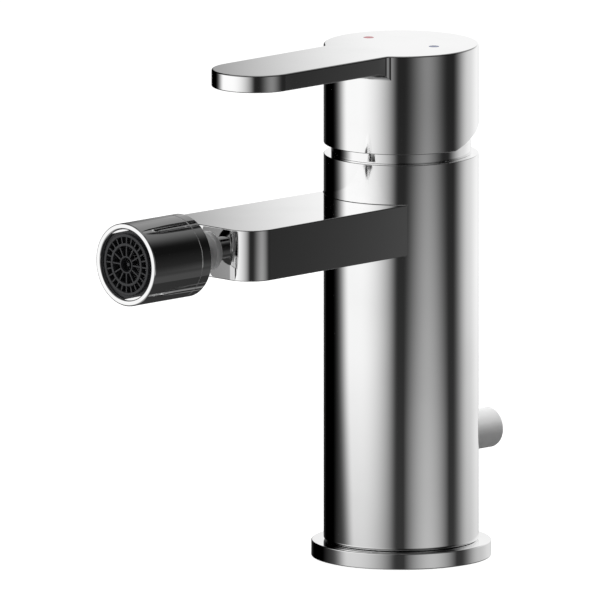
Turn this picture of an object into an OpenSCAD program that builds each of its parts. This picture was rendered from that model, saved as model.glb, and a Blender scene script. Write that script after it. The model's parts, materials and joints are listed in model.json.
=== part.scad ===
// Deck-mounted bidet mixer with a flat lever, a bar spout and a ball-joint nozzle.
// +Z is up, the spout points along -Y, and the origin lies on the body's axis at the deck.
// All sizes are in millimetres and angles in degrees.

/* [Base] */
// Outside diameter of the base ring
ring_d = 53.3; // [50:0.1:64]
// Thickness of the base ring
ring_t = 4.75; // [3.5:0.05:8]
// Width of the gasket under the base ring
gasket_w = 3; // [2:0.1:4]
// Thickness of the gasket
gasket_t = 2; // [1:0.1:2.5]

/* [Body] */
// Outside diameter of the body
body_d = 46; // [45:0.1:49]
// Height of the body's top face above the deck
body_top = 120.85; // [115:0.05:150]
// Wall of the hollow lower body
body_wall = 4; // [3:0.1:5]
// Rounding of the body's lower edge
edge_r = 1; // [0.4:0.1:1.5]
// Thickness of the partition that carries the cartridge
partition_t = 16; // [14:0.5:20]
// Distance of each hose port from the body's axis
port_x = 7; // [6.5:0.1:8]
// Core diameter of the M10 x 1 hose threads
hose_d = 9; // [8:0.1:10]
// Depth of the hose threads
hose_depth = 10; // [8:0.5:12]
// Core diameter of the M8 fixing stud thread
stud_d = 6.8; // [5:0.1:7]
// Depth of the fixing stud thread
stud_depth = 12; // [8:0.5:13]
// Distance of the fixing stud in front of the axis
stud_y = 11; // [9:0.5:13]

/* [Cartridge] */
// Outside diameter of the cartridge housing
cartridge_d = 35; // [34:0.1:35.6]
// Depth of the cartridge seat below the body's top face
seat_depth = 30.85; // [30.5:0.05:32]
// Diameter of the two inlets through base and lower disc
inlet_d = 6; // [4:0.1:6.4]
// Thickness of the cartridge base
base_t = 4; // [3.5:0.1:4.5]
// Thickness of each ceramic disc
disc_t = 3.5; // [3:0.1:4]
// Diameter of the moving disc
moving_disc_d = 22.6; // [20:0.1:22.8]
// Width of the square spindle
spindle_w = 8; // [6:0.1:9]
// Diameter of the pivot pin
pin_d = 3; // [2:0.1:3.5]
// Depth of the lever's pivot below the body's top face
pivot_depth = 4.85; // [4:0.05:5.5]

/* [Handle] */
// Gap between the body's top face and the hub
hub_gap = 3.15; // [2.8:0.05:5]
// Height of the hub
hub_h = 29.6; // [28:0.1:40]
// Side wall of the hub
hub_wall = 1.6; // [1.2:0.05:1.8]
// Top wall of the hub
hub_top_wall = 3.2; // [2.5:0.1:4]
// Reach of the lever's tip from the body's axis
lever_reach = 74.1; // [55:0.1:110]
// Width of the lever at the hub
lever_w = 26.9; // [18:0.1:32]
// Width of the lever at its round end
lever_end_w = 25.8; // [16:0.1:32]
// Thickness of the lever
lever_t = 5.15; // [3.5:0.05:8]
// Fillet between lever and hub
lever_fillet = 2.2; // [1:0.1:4]
// Slope of the cut under the rear of the hub
rear_cut = 20; // [18:0.5:26]
// Diameter of the hot and cold dots
dot_d = 3; // [2:0.1:5]
// Depth of the dots
dot_t = 0.8; // [0.4:0.1:1.5]
// Thread diameter of the handle's set screw
screw_d = 5; // [4:0.1:6]

/* [Spout] */
// Width of the spout at its front
spout_w = 36.6; // [28:0.1:38]
// Angle by which each side of the spout widens towards the front
spout_flare = 0.8; // [0:0.1:1.5]
// Thickness of the spout
spout_t = 15.3; // [14.5:0.05:18]
// Distance of the spout's top below the body's top
spout_drop = 11.85; // [11:0.05:13]
// Reach of the spout's front face from the body's axis
spout_reach = 81.6; // [60:0.1:120]
// Rounding of the spout's front corners
corner_r = 8.5; // [3:0.1:9]
// Diameter of the spout's waterway
waterway_d = 8; // [6:0.1:8.4]

/* [Nozzle] */
// Outside diameter of the nozzle
nozzle_d = 24.8; // [23.8:0.1:30]
// Length of the nozzle with its rear ring
nozzle_l = 23.8; // [22.5:0.1:34]
// Length of the rear ring that shows
ring_l = 3.7; // [3.5:0.1:5]
// Diameter of the ball
ball_d = 13; // [12:0.1:17]
// Distance from the spout's face to the ball's centre
ball_out = 13.6; // [13:0.1:20]
// Distance from the ball's centre back to the nozzle's rear face
ball_back = 3.5; // [3.3:0.1:4]
// Diameter of the neck behind the ball
neck_d = 7.1; // [6:0.1:7.6]
// Diameter of the stem's collar on the spout
collar_d = 11.8; // [11.5:0.1:14]
// Thickness of the collar
collar_t = 1.1; // [0.6:0.1:2]
// Thread diameter of the stem
stem_d = 9.9; // [9.4:0.1:10.2]
// Bore through stem and ball
stem_bore_d = 4.4; // [3:0.1:5.5]
// Wall of the nozzle's lip
lip_wall = 1.8; // [1.4:0.1:2.4]
// Depth of the grille behind the lip
grille_recess = 0.3; // [0.2:0.1:2]
// Number of cells in the grille's outer row
outer_cells = 24; // [12:2:30]
// Number of cells in the grille's inner row
inner_cells = 12; // [6:1:16]

/* [Pop-up] */
// Diameter of the lift knob
knob_d = 12.1; // [9:0.1:16]
// Height of the knob's axis above the deck
knob_z = 33.9; // [30:0.1:45]
// Reach of the knob's end behind the body's axis
knob_reach = 37.4; // [32:0.1:50]
// Travel of the knob
knob_travel = 15; // [8:0.5:20]
// Diameter of the lift rod
rod_d = 5; // [4:0.1:5.5]
// Distance of the rod behind the body's axis
rod_y = 13; // [12:0.1:13.5]

/* [Hidden] */
$fn = 96;

// Overlap of cutting tools past a face
cut = 1;
// Radial clearance of a running fit
run = 0.05;
// Radial clearance of a located or screwed fit
seat = 0.1;
// Gap between pieces that pass each other
pass = 0.3;

// Base
ring_r = ring_d / 2;
body_r = body_d / 2;
cavity_r = body_r - body_wall;
register_h = 3.2;
register_wall = 1.6;
ring_bore_r = cavity_r - seat - register_wall;
gasket_edge = 2.2;
gasket_r = ring_r - gasket_edge;

// Levels of the cartridge, from its seat upwards
seat_z = body_top - seat_depth;
partition_z = seat_z - partition_t;
disc_z = seat_z + base_t;
slide_z = disc_z + disc_t + run;
carrier_z = slide_z + disc_t;
carrier_flange_t = 2.8;
carrier_floor = 0.55;
carrier_hub_r = 5.5;
foot_r = 3;
foot_gap = 0.4;
foot_neck_r = 2.2;
foot_z = carrier_z + carrier_floor + foot_gap + foot_r;
hub_over_foot = 1.3;
carrier_top = foot_z + hub_over_foot;
flange_room = 1.75;
ledge_z = carrier_z + carrier_flange_t + flange_room;
ledge_t = 1;
ledge_w = 0.8;
guide_z = ledge_z + ledge_t + seat;
pivot_z = body_top - pivot_depth;
guide_over_pivot = 4;
guide_top = pivot_z + guide_over_pivot;
lip_z = guide_top + run;
lip_t = 1;
shoulder_drop = 4;
shoulder_z = pivot_z - shoulder_drop;
seal_d = 1.6;
groove_land = 2;
groove_z = shoulder_z - seal_d - groove_land;
nut_h = 6;
nut_top = shoulder_z + nut_h;
mix_d = 7.6;
mix_y = 4.6;

// Radii of the cartridge
bore_r = cartridge_d / 2;
housing_r = bore_r - seat;
housing_wall = 1.4;
chamber_r = housing_r - housing_wall;
guide_r = 13.2;
neck_wall = 1.9;
house_neck_r = guide_r + run + neck_wall;
nut_step = 1.5;
nut_r = bore_r + nut_step;
port_y = 2;
seal_w = 1.9;
seal_h = 2;
fixed_disc_r = chamber_r - seat;

// Dome and pivot
neck_step = 2.25;
neck_show_r = body_r - neck_step;
dome_clear = 0.55;
hub_z = body_top + hub_gap;
hub_top = hub_z + hub_h;
hub_in_r = body_r - hub_wall;
rim_r = sqrt(pow(hub_in_r, 2) + pow(hub_z - pivot_z, 2));
dome_r = rim_r - dome_clear;
dome_wall = 1.2;
lift_max = 22;
lift_spare = 2;
dome_open_r = dome_r * sin(lift_max + atan(spindle_w / 2 / dome_r) + lift_spare);
skirt_step = 0.75;
skirt_r = neck_show_r - skirt_step;
skirt_wall = 1.4;
pin_sink = 1.5;
spindle_heel = 3.2;

// Handle
boss_wall = 3.2;
boss_r = spindle_w / 2 * sqrt(2) + boss_wall;
boss_z = pivot_z + rim_r;
spindle_room = 1.6;
spindle_top = hub_top - hub_top_wall - spindle_room;
screw_rise = 0.5;
screw_z = (boss_z + spindle_top) / 2 + screw_rise;
screw_in = spindle_w / 2 + seat;
screw_sink = 0.5;
screw_l = boss_r - screw_in - screw_sink;
plug_step = 1;
plug_d = screw_d + plug_step;
plug_from = (boss_r + hub_in_r) / 2;
lever_half = lever_w / 2;
lever_end_r = lever_end_w / 2;
lever_end_y = lever_reach - lever_end_r;
lever_z = hub_top - lever_t;
hot_dot_at = [-14, 0.4];
cold_dot_at = [10.5, 3.2];

// Spout
spout_top = body_top - spout_drop;
spout_z = spout_top - spout_t / 2;
spout_bottom = spout_top - spout_t;
waterway_wall = 2.2;
spigot_r = waterway_d / 2 + waterway_wall;
window_w = 2 * waterway_d;
stem_l = 10;
stem_r = stem_d / 2;
seal_t = 1.2;
collar_r = collar_d / 2;
seal_inset = 0.35;
stem_seal_r = collar_r - seal_inset;

// Nozzle, along its own axis from the ball's centre forwards
nozzle_r = nozzle_d / 2;
ball_r = ball_d / 2;
ball_y = spout_reach + ball_out;
ball_gap = run;
seam = ring_l - ball_back;
mouth = nozzle_l - ball_back;
ball_flat = 0.5;
pocket_t = 1.25;
pocket_r = ball_r + pocket_t;
spigot_l = 4.1;
spigot_wall = 1.1;
spigot_in_r = pocket_r + run;
spigot_out_r = spigot_in_r + spigot_wall;
lip_front = 0.4;
zone_r = pocket_r - ball_gap;
seal_setback = 1.1;
seal_front = ball_r - seal_setback;
seal_l = 1.3;
// The seat lies clear of the ring's lip and of the seal when the nozzle is tilted
tilt_max = 15;
tilt_room = 0.15;
seat_front = zone_r * sin(tilt_max + asin((lip_front + tilt_room) / zone_r));
seat_l = zone_r * sin(asin(seal_front / zone_r) - tilt_max) - tilt_room - seat_front;
outlet_r = 3.2;
bridge_t = 1.35;
chamber_z = pocket_r + bridge_t;
mouth_r = nozzle_r - lip_wall;
insert_r = mouth_r - seat;
washer_t = 1.2;
washer_w = 2.5;
screen_t = 0.6;
screen_rim = 3;
screen_hole_d = 1.2;
screen_pitch = 2;
insert_z = chamber_z + washer_t + screen_t;
grille_t = 1.8;
grille_z = mouth - grille_recess - grille_t;
insert_wall = 1.4;
insert_in_r = insert_r - insert_wall;
outer_row = [0.71, 0.935];
inner_row = [0.31, 0.61];
eye_share = 0.23;
spoke_w = 0.5;
flat_turn = 15;
flat_depth = 0.7;

// Pop-up
knob_r = knob_d / 2;
rod_r = rod_d / 2;
rod_bottom = 0.8;
head_r = 4.5;
head_h = 9;
guide_wall = 1.5;
guide_r_out = rod_r + run + guide_wall;
lug_wall = 2.5;
lug_r = guide_r_out + lug_wall;
lug_h = ring_t + register_h;
guide_bottom = 1;
knob_stem_r = 3;
knob_tip_r = 2;
knob_clear = 0.4;
knob_in = body_r + knob_clear;
knob_round = 1.2;
link_r = 1.25;
link_depth = 8;

// A tube standing on z = 0
module tube(r_out, r_in, h) {
    difference() {
        cylinder(r = r_out, h = h);
        translate([0, 0, -cut]) cylinder(r = r_in, h = h + 2 * cut);
    }
}

// Places children with their +Z along the spout, at a distance in front of the axis
module along_spout(distance) {
    translate([0, -distance, spout_z]) rotate([90, 0, 0]) children();
}

// Half section of a drum with a rounded edge at its foot
module drum_section(r, h, round_r) {
    difference() {
        square([r, h]);
        translate([r - round_r, 0]) difference() {
            square([round_r + cut, round_r]);
            translate([0, round_r]) circle(round_r);
        }
    }
}

// Plan of the concave fillet between a bar's side and a round body, on the side given by its sign
module bar_fillet(half_w, r, fillet_r, side) {
    centre_x = half_w + fillet_r;
    centre_y = -sqrt(pow(r + fillet_r, 2) - pow(centre_x, 2));
    touch = [centre_x, centre_y] * r / (r + fillet_r);
    mirror([side < 0 ? 1 : 0, 0]) difference() {
        polygon([[half_w - cut, centre_y], [half_w, centre_y], touch, [half_w - cut, touch.y]]);
        translate([centre_x, centre_y]) circle(fillet_r);
    }
}

// A zone of a hollow sphere about the ball's centre, between two planes across the nozzle's axis
module ball_zone(r_in, r_out, from, length) {
    difference() {
        intersection() {
            sphere(r_out);
            translate([0, 0, from]) cylinder(r = r_out + cut, h = length);
        }
        sphere(r_in);
    }
}

module base_ring() {
    color("silver") difference() {
        union() {
            tube(ring_r, ring_bore_r, ring_t);
            tube(cavity_r - seat, ring_bore_r, lug_h);
            intersection() {
                translate([0, rod_y, guide_bottom]) cylinder(r = lug_r, h = lug_h - guide_bottom);
                cylinder(r = ring_bore_r + cut / 2, h = lug_h);
            }
        }
        translate([0, 0, -cut]) tube(gasket_r, gasket_r - gasket_w, gasket_t + cut);
        translate([0, rod_y, -cut]) cylinder(r = guide_r_out + run, h = lug_h + 2 * cut);
    }
}

module base_gasket() {
    color("dimgray") tube(gasket_r - run, gasket_r - gasket_w + run, gasket_t);
}

module body() {
    color("silver") difference() {
        translate([0, 0, ring_t]) rotate_extrude() drum_section(body_r, body_top - ring_t, edge_r);
        translate([0, 0, ring_t - cut]) cylinder(r = cavity_r, h = partition_z - ring_t + cut);
        translate([0, 0, seat_z]) cylinder(r = bore_r, h = seat_depth + cut);
        translate([0, 0, shoulder_z - pass]) cylinder(r = nut_r + run, h = body_top);
        translate([0, 0, nut_top]) cylinder(r = skirt_r + seat, h = body_top);
        for (side = [-1, 1]) translate([side * port_x, port_y, partition_z]) {
            translate([0, 0, -cut]) cylinder(d = hose_d, h = hose_depth + cut);
            cylinder(d = inlet_d, h = partition_t + cut);
        }
        translate([0, -stud_y, partition_z - cut]) cylinder(d = stud_d, h = stud_depth + cut);
        along_spout(0) cylinder(r = spigot_r + run, h = body_r + cut);
        knob_slot();
    }
}

// The slot behind the body that the knob's stem rides in
module knob_slot() {
    slot_r = knob_stem_r + pass;
    for (z = [knob_z, knob_z + knob_travel])
        translate([0, 0, z]) rotate([-90, 0, 0]) cylinder(r = slot_r, h = body_r + cut);
    translate([-slot_r, 0, knob_z]) cube([2 * slot_r, body_r + cut, knob_travel]);
}

module spout_plan() {
    corner_x = spout_w / 2 - corner_r;
    corner_y = spout_reach - corner_r;
    touch = [corner_x + corner_r * cos(spout_flare), corner_r * sin(spout_flare) - corner_y];
    root_x = touch.x + touch.y * tan(spout_flare);
    polygon([[root_x, 0], touch, [-touch.x, touch.y], [-root_x, 0]]);
    translate([-corner_x, -spout_reach]) square([2 * corner_x, spout_reach]);
    for (side = [-1, 1]) translate([side * corner_x, -corner_y]) circle(corner_r);
}

module spout() {
    color("silver") difference() {
        union() {
            translate([0, 0, spout_bottom]) linear_extrude(spout_t) difference() {
                spout_plan();
                circle(body_r + run);
            }
            along_spout(bore_r / 2) cylinder(r = spigot_r, h = body_r);
        }
        along_spout(0) cylinder(d = waterway_d, h = spout_reach - stem_l);
        along_spout(spout_reach - stem_l - cut) cylinder(r = stem_r + run, h = stem_l + 2 * cut);
        along_spout(spout_reach - seal_t) cylinder(r = stem_seal_r, h = seal_t + cut);
        translate([0, 0, seat_z]) cylinder(r = bore_r, h = seat_depth);
    }
}

module inlets(h) {
    for (side = [-1, 1]) translate([side * port_x, port_y, -cut]) cylinder(d = inlet_d, h = h + 2 * cut);
}

module cartridge_base() {
    color("white") translate([0, 0, seat_z]) difference() {
        cylinder(r = chamber_r - seat, h = base_t);
        inlets(base_t);
        for (side = [-1, 1]) translate([side * port_x, port_y, -cut])
            cylinder(r = inlet_d / 2 + seal_w, h = seal_h + cut);
    }
}

module port_seals() {
    color("dimgray") for (side = [-1, 1]) translate([side * port_x, port_y, seat_z])
        tube(inlet_d / 2 + seal_w - run, inlet_d / 2, seal_h);
}

module fixed_disc() {
    color("ivory") translate([0, 0, disc_z]) difference() {
        cylinder(r = fixed_disc_r, h = disc_t);
        inlets(disc_t);
    }
}

module cartridge_housing() {
    color("white") difference() {
        union() {
            translate([0, 0, seat_z]) cylinder(r = housing_r, h = shoulder_z - seat_z);
            translate([0, 0, seat_z]) cylinder(r = house_neck_r, h = lip_z + lip_t - seat_z);
        }
        translate([0, 0, seat_z - cut]) cylinder(r = chamber_r, h = ledge_z - seat_z + cut);
        translate([0, 0, seat_z]) cylinder(r = guide_r - ledge_w, h = guide_top);
        translate([0, 0, ledge_z + ledge_t]) cylinder(r = guide_r + run, h = lip_z - ledge_z - ledge_t);
        translate([0, 0, groove_z]) tube(housing_r + cut, bore_r - seal_d, seal_d + seat);
        translate([-window_w / 2, -body_r, spout_z - waterway_d / 2])
            cube([window_w, body_r - chamber_r / 2, waterway_d]);
    }
}

module cartridge_seal() {
    color("dimgray") translate([0, 0, groove_z + (seal_d + seat) / 2]) rotate_extrude()
        translate([bore_r - seal_d / 2, 0]) circle(d = seal_d - run);
}

module cartridge_nut() {
    color("goldenrod") translate([0, 0, shoulder_z]) tube(nut_r, house_neck_r + pass, nut_h);
}

module dome_section(r) {
    intersection() {
        translate([0, pivot_z]) circle(r);
        translate([dome_open_r, body_top]) square([neck_show_r - dome_open_r, dome_r]);
    }
}

module dome_cover() {
    skirt_in_r = skirt_r - skirt_wall;
    color("silver") union() {
        rotate_extrude() difference() {
            dome_section(dome_r);
            intersection() {
                translate([0, pivot_z]) circle(dome_r - dome_wall);
                translate([0, body_top - cut]) square([skirt_in_r, dome_r]);
            }
        }
        translate([0, 0, nut_top + pass]) tube(skirt_r, skirt_in_r, body_top - nut_top);
    }
}

module moving_disc() {
    color("ivory") translate([0, 0, slide_z]) difference() {
        cylinder(d = moving_disc_d, h = disc_t);
        translate([0, -mix_y, -cut]) cylinder(d = mix_d, h = disc_t / 2 + cut);
    }
}

module disc_carrier() {
    color("steelblue") translate([0, 0, carrier_z]) difference() {
        union() {
            cylinder(d = moving_disc_d, h = carrier_flange_t);
            cylinder(r = carrier_hub_r, h = carrier_top - carrier_z);
        }
        translate([0, 0, carrier_floor]) cylinder(r = foot_r + pass / 2, h = carrier_top - carrier_z);
    }
}

module swivel_guide() {
    slot_w = spindle_w + 2 * seat;
    slot_l = spindle_w / cos(lift_max) + 2 * (pivot_z - guide_z) * tan(lift_max) + 2 * pass;
    guide_h = guide_top - guide_z;
    color("steelblue") difference() {
        translate([0, 0, guide_z]) cylinder(r = guide_r, h = guide_h);
        translate([-slot_w / 2, -slot_l / 2, guide_z - cut]) cube([slot_w, slot_l, guide_h + 2 * cut]);
        translate([0, 0, pivot_z]) rotate([0, 90, 0])
            cylinder(d = pin_d + run, h = 2 * guide_r + cut, center = true);
    }
}

module pivot_pin() {
    color("gray") translate([0, 0, pivot_z]) rotate([0, 90, 0])
        cylinder(d = pin_d, h = 2 * (guide_r - pin_sink), center = true);
}

module spindle() {
    square_z = pivot_z - pin_d / 2 - spindle_heel;
    color("gray") difference() {
        union() {
            translate([-spindle_w / 2, -spindle_w / 2, square_z])
                cube([spindle_w, spindle_w, spindle_top - square_z]);
            translate([0, 0, foot_z]) cylinder(r = foot_neck_r, h = square_z - foot_z + cut);
            translate([0, 0, foot_z]) sphere(foot_r);
        }
        translate([0, 0, pivot_z]) rotate([0, 90, 0])
            cylinder(d = pin_d + 2 * run, h = spindle_w + 2 * cut, center = true);
    }
}

module lever_plan() {
    taper = (lever_half - lever_end_r) / lever_end_y;
    polygon([[lever_half, 0], [lever_end_r, -lever_end_y],
        [-lever_end_r, -lever_end_y], [-lever_half, 0]]);
    translate([0, -lever_end_y]) circle(lever_end_r);
    for (side = [-1, 1]) bar_fillet(lever_half - taper * body_r, body_r, lever_fillet, side);
}

// The fillet under the lever, where it leaves the hub
module lever_root() {
    intersection() {
        translate([0, 0, lever_z - lever_fillet]) rotate_extrude() difference() {
            translate([body_r - cut, 0]) square([lever_fillet + cut, lever_fillet + cut]);
            translate([body_r + lever_fillet, 0]) circle(lever_fillet);
        }
        translate([0, 0, lever_z - lever_fillet]) linear_extrude(lever_fillet + cut) lever_plan();
    }
}

module dot_at(place) {
    translate([place.x, place.y, hub_top - dot_t]) cylinder(d = dot_d, h = dot_t);
}

// Bores through the rear of the hub, for the set screw and its plug
module screw_way(d, from, to) {
    translate([0, from, screw_z]) rotate([-90, 0, 0]) cylinder(d = d, h = to - from);
}

module handle() {
    socket_w = spindle_w + 2 * seat;
    color("silver") difference() {
        union() {
            translate([0, 0, hub_z]) cylinder(r = body_r, h = hub_h);
            translate([0, 0, lever_z]) linear_extrude(lever_t) lever_plan();
            lever_root();
        }
        difference() {
            translate([0, 0, hub_z - cut]) cylinder(r = hub_in_r, h = hub_h - hub_top_wall + cut);
            translate([0, 0, boss_z]) cylinder(r = boss_r, h = hub_h);
        }
        translate([0, 0, hub_z]) rotate([rear_cut, 0, 0])
            translate([-ring_r, 0, -hub_h]) cube([2 * ring_r, 2 * ring_r, hub_h]);
        translate([-socket_w / 2, -socket_w / 2, boss_z - cut])
            cube([socket_w, socket_w, spindle_top + 2 * seat - boss_z + cut]);
        screw_way(screw_d + 2 * run, 0, plug_from);
        screw_way(plug_d, plug_from, body_r + cut);
        for (place = [hot_dot_at, cold_dot_at], up = [0, dot_t / 2])
            translate([0, 0, up]) dot_at(place);
    }
}

module handle_screw() {
    key_d = screw_d / 2;
    color("gray") difference() {
        screw_way(screw_d, screw_in, screw_in + screw_l);
        screw_way(key_d, screw_in + screw_l / 2, screw_in + screw_l + cut);
    }
}

module screw_plug() {
    color("gainsboro") intersection() {
        screw_way(plug_d - run, hub_in_r, body_r + cut);
        translate([0, 0, hub_z]) cylinder(r = body_r, h = hub_h);
    }
}

module hot_dot() {
    color("crimson") dot_at(hot_dot_at);
}

module cold_dot() {
    color("royalblue") dot_at(cold_dot_at);
}

module ball_stem() {
    color("silver") along_spout(ball_y) difference() {
        union() {
            sphere(ball_r);
            translate([0, 0, -ball_out]) cylinder(d = neck_d, h = ball_out);
            translate([0, 0, -ball_out]) cylinder(r = collar_r, h = collar_t);
            translate([0, 0, seat - ball_out - stem_l]) cylinder(r = stem_r, h = stem_l);
        }
        translate([0, 0, -ball_out - stem_l - cut])
            cylinder(d = stem_bore_d, h = ball_out + stem_l + ball_d);
        translate([0, 0, ball_r - ball_flat]) cylinder(r = ball_r, h = ball_r);
    }
}

module stem_seal() {
    color("dimgray") along_spout(spout_reach - seal_t) tube(stem_seal_r - run, stem_r + run, seal_t);
}

module ball_seat() {
    color("white") along_spout(ball_y)
        ball_zone(ball_r + ball_gap, zone_r, seat_front, seat_l);
}

module ball_seal() {
    color("dimgray") along_spout(ball_y) difference() {
        ball_zone(ball_r + ball_gap, zone_r, seal_front, seal_l);
        cylinder(r = outlet_r, h = pocket_r + cut);
    }
}

module ball_ring() {
    color("silver") along_spout(ball_y) difference() {
        union() {
            translate([0, 0, -ball_back]) cylinder(r = nozzle_r, h = ring_l);
            cylinder(r = spigot_out_r, h = seam + spigot_l);
        }
        sphere(ball_r + ball_gap);
        translate([0, 0, lip_front]) cylinder(r = spigot_in_r, h = ball_d);
    }
}

module nozzle_shell() {
    color("silver") along_spout(ball_y) difference() {
        translate([0, 0, seam]) cylinder(r = nozzle_r, h = mouth - seam);
        translate([0, 0, seam - cut]) cylinder(r = spigot_out_r + run, h = spigot_l + cut + pass);
        sphere(pocket_r);
        cylinder(r = outlet_r, h = mouth);
        translate([0, 0, chamber_z]) cylinder(r = mouth_r, h = mouth);
    }
}

module aerator_washer() {
    color("dimgray") along_spout(ball_y) translate([0, 0, chamber_z])
        tube(insert_r, insert_r - washer_w, washer_t);
}

module aerator_screen() {
    rows = floor((insert_r - screen_rim) / screen_pitch);
    color("gainsboro") along_spout(ball_y) translate([0, 0, chamber_z + washer_t])
        linear_extrude(screen_t) difference() {
            circle(insert_r);
            for (row = [1 : rows], i = [0 : 6 * row - 1])
                rotate(i * 60 / row) translate([row * screen_pitch, 0]) circle(d = screen_hole_d);
        }
}

// One row of the grille's cells, between two shares of the grille's radius
module cell_row(row, count) {
    half_step = 180 / count;
    for (i = [0 : count - 1]) rotate((i + 0.5) * 2 * half_step) {
        corners = [for (share = row) [share * insert_in_r * cos(half_step),
            share * insert_in_r * sin(half_step) - spoke_w / 2]];
        polygon([for (c = corners) c, for (c = [corners[1], corners[0]]) [c.x, -c.y]]);
    }
}

module aerator_insert() {
    color("dimgray") along_spout(ball_y) rotate(flat_turn) difference() {
        translate([0, 0, insert_z]) cylinder(r = insert_r, h = grille_z + grille_t - insert_z);
        translate([0, 0, insert_z - cut]) cylinder(r = insert_in_r, h = grille_z - insert_z + cut);
        translate([0, 0, grille_z - cut]) linear_extrude(grille_t + 2 * cut) {
            cell_row(outer_row, outer_cells);
            cell_row(inner_row, inner_cells);
            circle(insert_in_r * eye_share);
        }
        for (side = [0, 180]) rotate(side) translate([-insert_r, insert_r - flat_depth, grille_z])
            cube([2 * insert_r, insert_r, grille_t + cut]);
    }
}

module rod_guide() {
    color("white") translate([0, rod_y, guide_bottom])
        tube(guide_r_out, rod_r + run, knob_z - head_h / 2 - pass - guide_bottom);
}

module lift_rod() {
    color("silver") difference() {
        union() {
            translate([0, rod_y, rod_bottom]) cylinder(r = rod_r, h = knob_z - rod_bottom);
            translate([0, rod_y, knob_z - head_h / 2]) cylinder(r = head_r, h = head_h);
        }
        translate([0, rod_y, rod_bottom - cut]) cylinder(r = link_r, h = link_depth + cut);
        translate([0, rod_y - head_r / 2, knob_z]) rotate([-90, 0, 0])
            cylinder(r = knob_tip_r + run, h = 2 * head_r);
    }
}

module lift_knob() {
    tip_y = rod_y - head_r / 2 + pass;
    color("silver") translate([0, 0, knob_z]) {
        translate([0, knob_reach, 0]) rotate([90, 0, 0])
            rotate_extrude() drum_section(knob_r, knob_reach - knob_in, knob_round);
        translate([0, rod_y + head_r, 0]) rotate([-90, 0, 0])
            cylinder(r = knob_stem_r, h = knob_in - rod_y - head_r + cut);
        translate([0, tip_y, 0]) rotate([-90, 0, 0]) cylinder(r = knob_tip_r, h = knob_in - tip_y);
    }
}

base_ring();
base_gasket();
body();
spout();
cartridge_base();
port_seals();
fixed_disc();
cartridge_housing();
cartridge_seal();
cartridge_nut();
dome_cover();
moving_disc();
disc_carrier();
swivel_guide();
pivot_pin();
spindle();
handle();
handle_screw();
screw_plug();
hot_dot();
cold_dot();
ball_stem();
stem_seal();
ball_seat();
ball_seal();
ball_ring();
nozzle_shell();
aerator_washer();
aerator_screen();
aerator_insert();
rod_guide();
lift_rod();
lift_knob();
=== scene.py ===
"""A chrome bidet mixer with a flat lever and a ball-joint nozzle, in a small photo studio."""

from __future__ import annotations

import json
import logging
import math
from dataclasses import dataclass
from enum import Enum
from typing import Any, Sequence

import bpy
from mathutils import Matrix, Vector
from mathutils.geometry import tessellate_polygon


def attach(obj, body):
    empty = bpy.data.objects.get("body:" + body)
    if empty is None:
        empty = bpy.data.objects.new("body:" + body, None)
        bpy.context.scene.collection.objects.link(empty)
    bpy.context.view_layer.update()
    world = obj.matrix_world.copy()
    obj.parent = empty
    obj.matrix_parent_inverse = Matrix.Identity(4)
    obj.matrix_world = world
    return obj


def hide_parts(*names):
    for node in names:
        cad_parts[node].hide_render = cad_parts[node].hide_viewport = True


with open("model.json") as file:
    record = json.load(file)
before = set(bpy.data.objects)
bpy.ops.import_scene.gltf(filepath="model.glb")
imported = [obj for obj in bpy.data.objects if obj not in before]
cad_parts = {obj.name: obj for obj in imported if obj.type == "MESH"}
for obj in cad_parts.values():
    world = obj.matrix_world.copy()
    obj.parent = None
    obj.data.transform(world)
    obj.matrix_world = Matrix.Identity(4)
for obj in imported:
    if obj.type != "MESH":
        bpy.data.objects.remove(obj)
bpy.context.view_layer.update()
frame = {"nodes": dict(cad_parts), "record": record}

LOG = logging.getLogger("bidet_mixer")
MM = 0.001
TOUCH = 1e-5
UP = Vector((0.0, 0.0, 1.0))
ARC_STEP = 4.0
EDGE_STEPS = 4

Knot = tuple[Vector, Vector]
Corner = tuple[float, float, float]
Colour = tuple[float, float, float]


class Facing(Enum):
    """The way that a turned piece's own axis points."""

    UP = 0.0
    FRONT = 90.0
    REAR = -90.0

    def place(self, origin: Vector) -> Matrix:
        """Returns the matrix that stands the axis at an origin, in metres."""
        return Matrix.Translation(origin) @ Matrix.Rotation(math.radians(self.value), 4, "X")


@dataclass(frozen=True)
class EdgePoint:
    """A point of an outline, with the direction that its surface faces."""

    x: float
    y: float
    nx: float
    ny: float

    def inset(self, depth: float) -> tuple[float, float]:
        """Returns the point moved into the solid by a depth."""
        return self.x - self.nx * depth, self.y - self.ny * depth


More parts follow.
